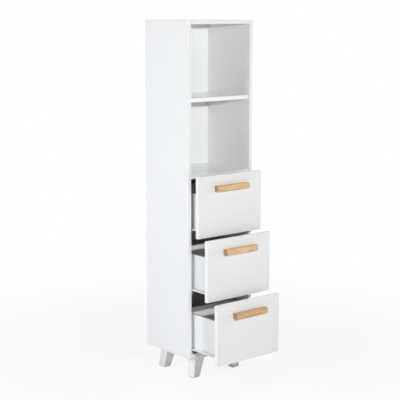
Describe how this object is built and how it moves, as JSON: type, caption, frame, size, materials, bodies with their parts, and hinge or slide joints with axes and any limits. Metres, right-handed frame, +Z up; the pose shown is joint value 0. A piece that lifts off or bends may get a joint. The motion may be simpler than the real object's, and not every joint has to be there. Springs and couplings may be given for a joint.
{
  "type": "bathroom storage tower",
  "caption": "Tall narrow white cabinet with open shelves above, drawers on roller slides below, wooden bar handles and splayed tapered legs.",
  "frame": {"origin": "on the floor, under the middle of the width, and under the middle of the depth that the tower fills with its drawers standing open as stored", "axes": "+Z up along the tower's height; +X to the right seen from the front; the drawers open towards -Y and the back faces +Y"},
  "size_m": [0.35, 0.488, 1.5],
  "materials": {
    "white_board": "satin white melamine on particle board",
    "back_board": "smooth white lacquer on thin fibreboard",
    "front_board": "satin white melamine on particle board",
    "box_board": "satin white foil on board",
    "floor_board": "smooth white lacquer on thin fibreboard",
    "white_lacquer": "satin white lacquer on solid wood",
    "handle_wood": "clear-lacquered pale hardwood",
    "dowel_wood": "raw beech",
    "slide_steel": "white epoxy-coated steel",
    "zinc_steel": "zinc plated",
    "roller_nylon": "natural nylon",
    "glide_plastic": "dark grey plastic"
  },
  "bodies": {
    "carcass": {"left_side": "white_board", "right_side": "white_board", "top_panel": "white_board", "upper_shelf": "white_board", "deck_panel": "white_board", "bottom_panel": "white_board", "back_panel": "back_board", "shelf_pins": "zinc_steel", "dowels": "dowel_wood", "cam_locks": "zinc_steel", "cam_bolts": "zinc_steel", "leg_front_left": "white_lacquer", "leg_front_right": "white_lacquer", "leg_rear_left": "white_lacquer", "leg_rear_right": "white_lacquer", "leg_inserts": "zinc_steel", "leg_bolts": "zinc_steel", "leg_glides": "glide_plastic", "slide_left_1": "slide_steel", "slide_right_1": "slide_steel", "slide_left_2": "slide_steel", "slide_right_2": "slide_steel", "slide_left_3": "slide_steel", "slide_right_3": "slide_steel"},
    "drawer_1": {"drawer_1_front": "front_board", "drawer_1_side_left": "box_board", "drawer_1_side_right": "box_board", "drawer_1_back": "box_board", "drawer_1_floor": "floor_board", "drawer_1_runner_left": "slide_steel", "drawer_1_runner_right": "slide_steel", "drawer_1_handle": "handle_wood", "drawer_1_fixings": "zinc_steel"},
    "guide_rollers_1": {"guide_rollers_1": "roller_nylon"},
    "tail_rollers_1": {"tail_rollers_1": "roller_nylon"},
    "drawer_2": {"drawer_2_front": "front_board", "drawer_2_side_left": "box_board", "drawer_2_side_right": "box_board", "drawer_2_back": "box_board", "drawer_2_floor": "floor_board", "drawer_2_runner_left": "slide_steel", "drawer_2_runner_right": "slide_steel", "drawer_2_handle": "handle_wood", "drawer_2_fixings": "zinc_steel"},
    "guide_rollers_2": {"guide_rollers_2": "roller_nylon"},
    "tail_rollers_2": {"tail_rollers_2": "roller_nylon"},
    "drawer_3": {"drawer_3_front": "front_board", "drawer_3_side_left": "box_board", "drawer_3_side_right": "box_board", "drawer_3_back": "box_board", "drawer_3_floor": "floor_board", "drawer_3_runner_left": "slide_steel", "drawer_3_runner_right": "slide_steel", "drawer_3_handle": "handle_wood", "drawer_3_fixings": "zinc_steel"},
    "guide_rollers_3": {"guide_rollers_3": "roller_nylon"},
    "tail_rollers_3": {"tail_rollers_3": "roller_nylon"}
  },
  "joints": [
    {"name": "drawer_1_slide", "type": "slide", "parent": "carcass", "child": "drawer_1", "axis": [0, -1, 0], "range_m": [-0.043, 0.147]},
    {"name": "guide_rollers_1_spin", "type": "hinge", "parent": "carcass", "child": "guide_rollers_1", "pos_m": [0, -0.026, 0.64198], "axis": [1, 0, 0], "continuous": true},
    {"name": "tail_rollers_1_spin", "type": "hinge", "parent": "drawer_1", "child": "tail_rollers_1", "pos_m": [0, 0.157, 0.64198], "axis": [1, 0, 0], "continuous": true},
    {"name": "drawer_2_slide", "type": "slide", "parent": "carcass", "child": "drawer_2", "axis": [0, -1, 0], "range_m": [-0.1, 0.09]},
    {"name": "guide_rollers_2_spin", "type": "hinge", "parent": "carcass", "child": "guide_rollers_2", "pos_m": [0, -0.026, 0.38632], "axis": [1, 0, 0], "continuous": true},
    {"name": "tail_rollers_2_spin", "type": "hinge", "parent": "drawer_2", "child": "tail_rollers_2", "pos_m": [0, 0.1, 0.38632], "axis": [1, 0, 0], "continuous": true},
    {"name": "drawer_3_slide", "type": "slide", "parent": "carcass", "child": "drawer_3", "axis": [0, -1, 0], "range_m": [-0.161, 0.029]},
    {"name": "guide_rollers_3_spin", "type": "hinge", "parent": "carcass", "child": "guide_rollers_3", "pos_m": [0, -0.026, 0.13065], "axis": [1, 0, 0], "continuous": true},
    {"name": "tail_rollers_3_spin", "type": "hinge", "parent": "drawer_3", "child": "tail_rollers_3", "pos_m": [0, 0.039, 0.13065], "axis": [1, 0, 0], "continuous": true}
  ],
  "couplings": [
    {"joint": "guide_rollers_1_spin", "follows": "drawer_1_slide", "rad_per_m": 128.21},
    {"joint": "tail_rollers_1_spin", "follows": "drawer_1_slide", "rad_per_m": 128.21},
    {"joint": "guide_rollers_2_spin", "follows": "drawer_2_slide", "rad_per_m": 128.21},
    {"joint": "tail_rollers_2_spin", "follows": "drawer_2_slide", "rad_per_m": 128.21},
    {"joint": "guide_rollers_3_spin", "follows": "drawer_3_slide", "rad_per_m": 128.21},
    {"joint": "tail_rollers_3_spin", "follows": "drawer_3_slide", "rad_per_m": 128.21}
  ]
}
